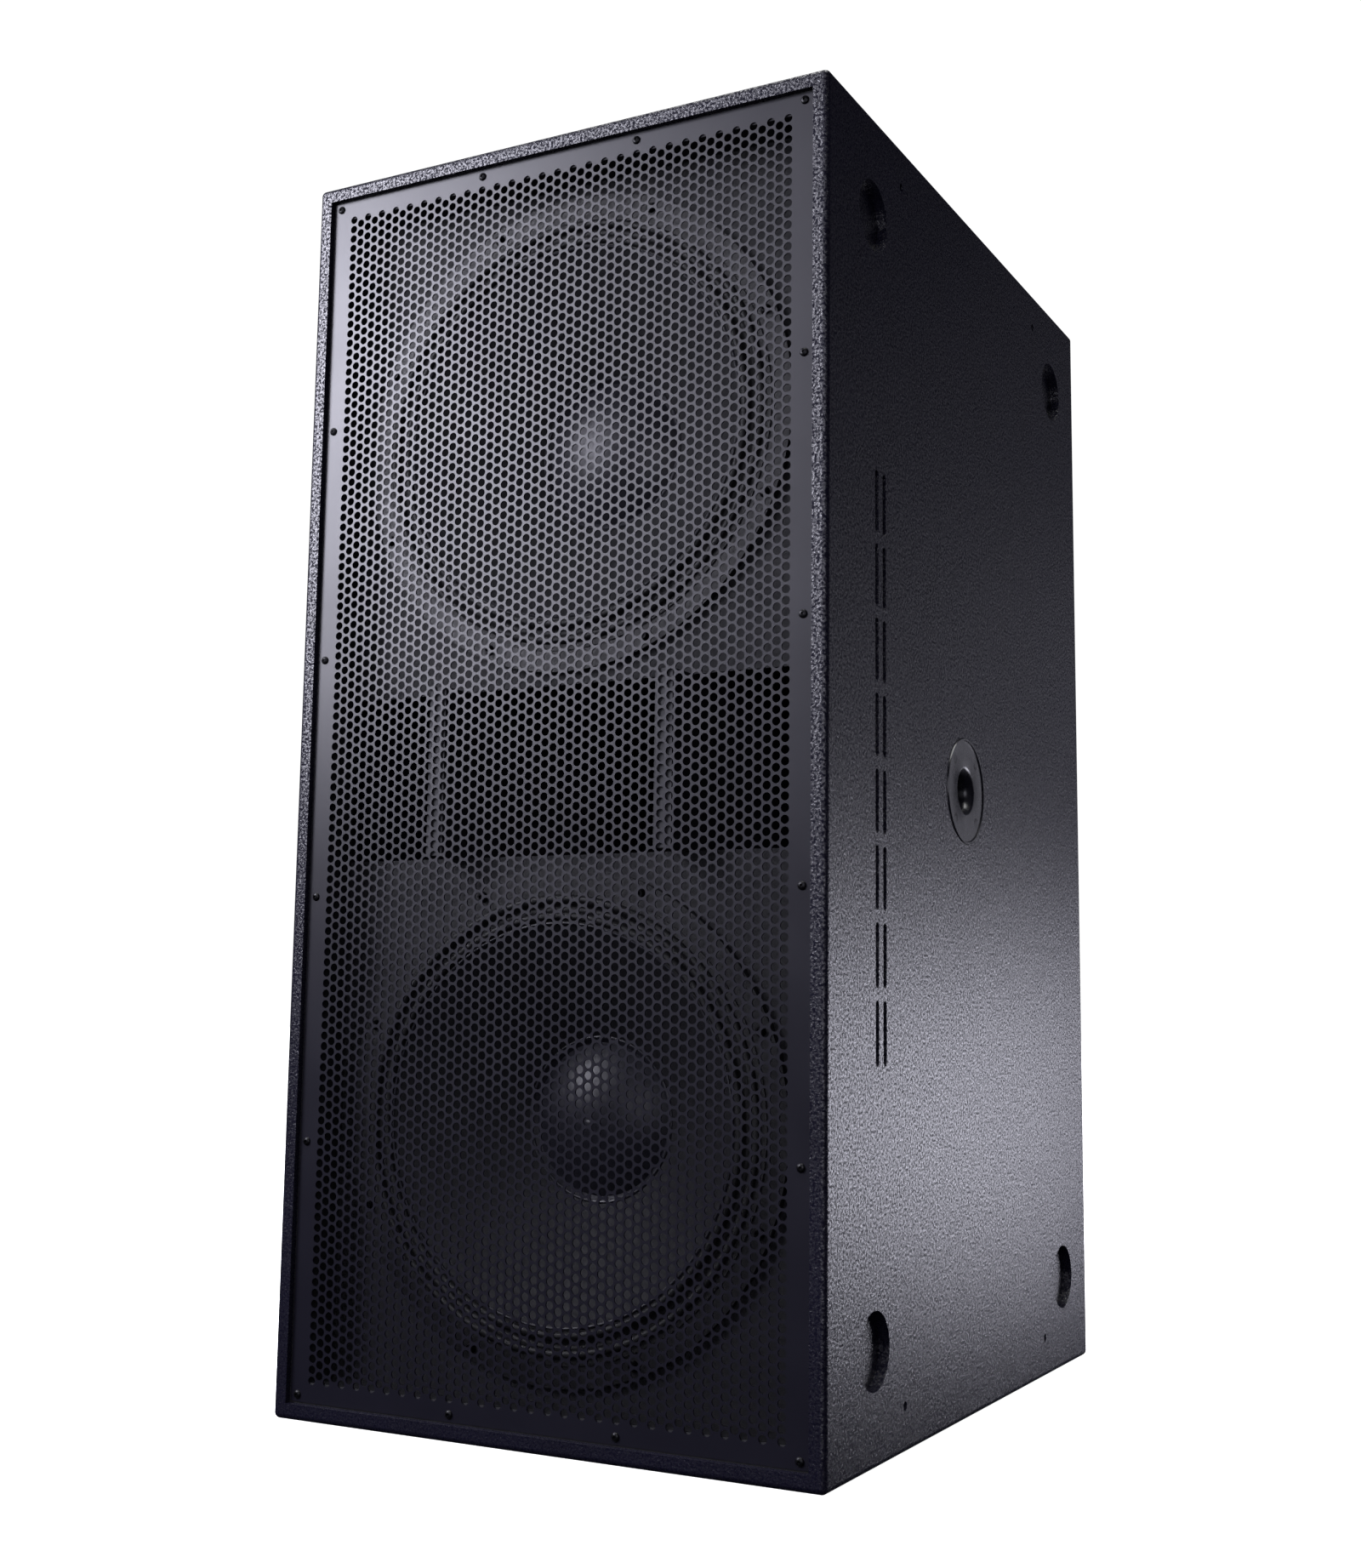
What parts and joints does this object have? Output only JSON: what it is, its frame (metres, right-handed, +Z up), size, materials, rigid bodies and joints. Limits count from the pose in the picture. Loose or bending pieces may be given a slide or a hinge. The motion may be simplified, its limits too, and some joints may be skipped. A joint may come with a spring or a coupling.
{
  "type": "bass loudspeaker cabinet",
  "caption": "Tall vented bass cabinet with cone drivers behind one flat perforated grille, a pole socket, stacking pockets, recessed handles and swivel casters on the back.",
  "frame": {"origin": "middle of the bottom face, the end that the cabinet stands on", "axes": "+Z up along the long side, -Y out through the grille, +X out through the panel with the pole socket"},
  "size_m": [0.585, 0.8724, 1.22],
  "materials": {
    "black_oxide_steel": "black oxide",
    "black_plywood": "birch plywood painted matte black",
    "black_socket_steel": "satin black powder coat",
    "cap_paper": "coated paper",
    "coated_plywood": "black sprayed textured coating on birch plywood",
    "cone_paper": "pressed black paper pulp",
    "connector_plastic": "moulded",
    "copper_coil": "enamelled winding",
    "ferrite": "sintered",
    "foot_rubber": "matte",
    "grip_plastic": "grained",
    "painted_casting": "black painted die casting",
    "pedal_steel": "painted",
    "powder_coated_steel": "satin black powder coat",
    "treated_cloth": "doped cloth",
    "wheel_rubber": "moulded",
    "zinc_steel": "zinc plated"
  },
  "bodies": {
    "cabinet": {"baffle_lower": "black_plywood", "baffle_upper": "black_plywood", "caster_bolts": "black_oxide_steel", "caster_plates": "zinc_steel", "connector_dish": "powder_coated_steel", "connector_screws": "black_oxide_steel", "connector_sockets": "connector_plastic", "feet": "foot_rubber", "feet_screws": "black_oxide_steel", "grille": "powder_coated_steel", "grille_battens": "black_plywood", "grille_screws": "black_oxide_steel", "handle_dishes_bottom": "powder_coated_steel", "handle_dishes_top": "powder_coated_steel", "handle_grips_bottom": "grip_plastic", "handle_grips_top": "grip_plastic", "handle_screws": "black_oxide_steel", "lower_driver_frame": "painted_casting", "lower_driver_screws": "black_oxide_steel", "lower_front_plate": "zinc_steel", "lower_magnet": "ferrite", "lower_spider": "treated_cloth", "lower_surround": "treated_cloth", "lower_yoke": "zinc_steel", "panel_back": "coated_plywood", "panel_bottom": "coated_plywood", "panel_left": "coated_plywood", "panel_right": "coated_plywood", "panel_top": "coated_plywood", "pole_socket": "black_socket_steel", "pole_socket_screws": "black_oxide_steel", "port_divider_left": "black_plywood", "port_divider_right": "black_plywood", "port_shelf_lower": "black_plywood", "port_shelf_upper": "black_plywood", "rigging_inserts": "black_oxide_steel", "upper_driver_frame": "painted_casting", "upper_driver_screws": "black_oxide_steel", "upper_front_plate": "zinc_steel", "upper_magnet": "ferrite", "upper_spider": "treated_cloth", "upper_surround": "treated_cloth", "upper_yoke": "zinc_steel", "window_brace": "black_plywood"},
    "upper_moving_assembly": {"upper_cone": "cone_paper", "upper_dust_cap": "cap_paper", "upper_voice_coil": "copper_coil"},
    "lower_moving_assembly": {"lower_cone": "cone_paper", "lower_dust_cap": "cap_paper", "lower_voice_coil": "copper_coil"},
    "caster_fork_1": {"caster_fork_1": "zinc_steel"},
    "caster_wheel_1": {"caster_wheel_1": "wheel_rubber"},
    "caster_brake_1": {"caster_brake_1": "pedal_steel"},
    "caster_fork_2": {"caster_fork_2": "zinc_steel"},
    "caster_wheel_2": {"caster_wheel_2": "wheel_rubber"},
    "caster_brake_2": {"caster_brake_2": "pedal_steel"},
    "caster_fork_3": {"caster_fork_3": "zinc_steel"},
    "caster_wheel_3": {"caster_wheel_3": "wheel_rubber"},
    "caster_fork_4": {"caster_fork_4": "zinc_steel"},
    "caster_wheel_4": {"caster_wheel_4": "wheel_rubber"}
  },
  "joints": [
    {"name": "upper_cone_travel", "type": "slide", "parent": "cabinet", "child": "upper_moving_assembly", "axis": [0, -1, 0], "range_m": [-0.012, 0.012], "stiffness_N_per_m": 7500, "deforming": ["upper_surround", "upper_spider"]},
    {"name": "lower_cone_travel", "type": "slide", "parent": "cabinet", "child": "lower_moving_assembly", "axis": [0, -1, 0], "range_m": [-0.012, 0.012], "stiffness_N_per_m": 7500, "deforming": ["lower_surround", "lower_spider"]},
    {"name": "caster_swivel_1", "type": "hinge", "parent": "cabinet", "child": "caster_fork_1", "pos_m": [-0.15, 0.379, 0.135], "axis": [0, 1, 0], "continuous": true},
    {"name": "caster_spin_1", "type": "hinge", "parent": "caster_fork_1", "child": "caster_wheel_1", "pos_m": [-0.15, 0.4474, 0.099], "axis": [1, 0, 0], "continuous": true},
    {"name": "caster_brake_press_1", "type": "hinge", "parent": "caster_fork_1", "child": "caster_brake_1", "pos_m": [-0.15, 0.4054, 0.061], "axis": [1, 0, 0], "range_deg": [0, 14]},
    {"name": "caster_swivel_2", "type": "hinge", "parent": "cabinet", "child": "caster_fork_2", "pos_m": [0.15, 0.379, 0.135], "axis": [0, 1, 0], "continuous": true},
    {"name": "caster_spin_2", "type": "hinge", "parent": "caster_fork_2", "child": "caster_wheel_2", "pos_m": [0.15, 0.4474, 0.099], "axis": [1, 0, 0], "continuous": true},
    {"name": "caster_brake_press_2", "type": "hinge", "parent": "caster_fork_2", "child": "caster_brake_2", "pos_m": [0.15, 0.4054, 0.061], "axis": [1, 0, 0], "range_deg": [0, 14]},
    {"name": "caster_swivel_3", "type": "hinge", "parent": "cabinet", "child": "caster_fork_3", "pos_m": [-0.15, 0.379, 1.085], "axis": [0, 1, 0], "continuous": true},
    {"name": "caster_spin_3", "type": "hinge", "parent": "caster_fork_3", "child": "caster_wheel_3", "pos_m": [-0.15, 0.4474, 1.049], "axis": [1, 0, 0], "continuous": true},
    {"name": "caster_swivel_4", "type": "hinge", "parent": "cabinet", "child": "caster_fork_4", "pos_m": [0.15, 0.379, 1.085], "axis": [0, 1, 0], "continuous": true},
    {"name": "caster_spin_4", "type": "hinge", "parent": "caster_fork_4", "child": "caster_wheel_4", "pos_m": [0.15, 0.4474, 1.049], "axis": [1, 0, 0], "continuous": true}
  ]
}
